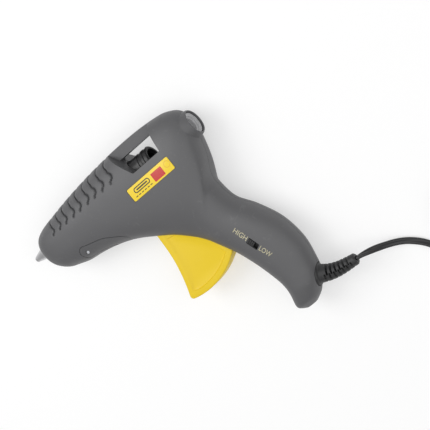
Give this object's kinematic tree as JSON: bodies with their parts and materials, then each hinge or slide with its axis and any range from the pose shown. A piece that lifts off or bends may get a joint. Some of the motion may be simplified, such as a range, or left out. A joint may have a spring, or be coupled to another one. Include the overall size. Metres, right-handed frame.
{
  "type": "glue gun",
  "caption": "Corded hot glue gun with a squeeze trigger, an open barrel window over its feed collar, a fold-out stand, a temperature switch and a mains lead wound in a coil.",
  "frame": {"origin": "bottom centre of the gun's box as it lies on its right side, measured without its cord and plug", "axes": "+X along the barrel from the nozzle to the glue-stick inlet, +Y to the top of the gun, +Z out of its left side, up as it lies"},
  "size_m": [0.4012, 0.2585, 0.042],
  "materials": {
    "housing_grey": "fine-textured moulded plastic, satin",
    "trigger_yellow": "moulded, satin",
    "label_yellow": "printed film",
    "black_plastic": "moulded, satin",
    "black_rubber": "soft moulded, satin",
    "light_plastic": "moulded, satin",
    "phenolic": "pressed",
    "red_silicone": "moulded silicone",
    "heater_film": "film wrap",
    "cast_aluminium": "turned and cast",
    "zinc_steel": "zinc plated",
    "brass": "stamped",
    "white_lead": "insulated wire",
    "black_lead": "insulated wire"
  },
  "bodies": {
    "housing": {"left_shell": "housing_grey", "right_shell": "housing_grey", "housing_screw_1": "zinc_steel", "housing_screw_2": "zinc_steel", "housing_screw_3": "zinc_steel", "housing_screw_4": "zinc_steel", "housing_screw_5": "zinc_steel", "housing_screw_6": "zinc_steel", "nozzle": "cast_aluminium", "melt_chamber": "cast_aluminium", "ptc_heater": "heater_film", "heater_clip": "zinc_steel", "front_insulator": "phenolic", "rear_insulator": "phenolic", "stick_sleeve": "red_silicone", "sleeve_clamp": "zinc_steel", "inlet_guide": "light_plastic", "trigger_pin": "zinc_steel", "return_spring": "zinc_steel", "stand_pin": "zinc_steel", "switch_body": "black_plastic", "dropping_diode": "black_plastic", "live_lead": "black_lead", "neutral_lead": "white_lead", "switched_lead": "black_lead", "inner_cord": "black_rubber", "cord_clamp": "phenolic", "clamp_screw_1": "zinc_steel", "clamp_screw_2": "zinc_steel", "side_label": "label_yellow", "strain_relief": "black_rubber", "cord_tube": "black_rubber", "cord_coil": "black_rubber", "cord_tail": "black_rubber", "plug_body": "black_rubber", "plug_blade_narrow": "brass", "plug_blade_wide": "brass"},
    "trigger": {"trigger": "trigger_yellow", "drive_pin": "zinc_steel"},
    "carriage": {"carriage": "black_plastic", "jaw_pin": "zinc_steel"},
    "jaw": {"grip_jaw": "zinc_steel"},
    "stand": {"stand": "housing_grey"},
    "switch": {"switch_slider": "black_plastic"}
  },
  "joints": [
    {"name": "trigger_squeeze", "type": "hinge", "parent": "housing", "child": "trigger", "pos_m": [-0.002, 0.0295, 0.021], "axis": [0, 0, 1], "range_deg": [0, 24], "stiffness_Nm_per_rad": 0.3, "springref_deg": -17.19},
    {"name": "carriage_feed", "type": "slide", "parent": "housing", "child": "carriage", "axis": [-1, 0, 0], "range_m": [0, 0.0115], "deforming": ["return_spring"]},
    {"name": "jaw_bite", "type": "hinge", "parent": "carriage", "child": "jaw", "pos_m": [0.016, 0.057, 0.021], "axis": [0, 0, -1], "range_deg": [0, 20.5]},
    {"name": "stand_fold", "type": "hinge", "parent": "housing", "child": "stand", "pos_m": [-0.0625, 0.0485, 0.021], "axis": [0, 0, -1], "range_deg": [0, 80]},
    {"name": "temperature_slide", "type": "slide", "parent": "housing", "child": "switch", "axis": [0.3189, -0.9478, 0], "range_m": [0, 0.0034]}
  ],
  "couplings": [
    {"joint": "carriage_feed", "follows": "trigger_squeeze", "m_per_rad": 0.0272},
    {"joint": "jaw_bite", "follows": "trigger_squeeze", "ratio": 0.8333}
  ]
}
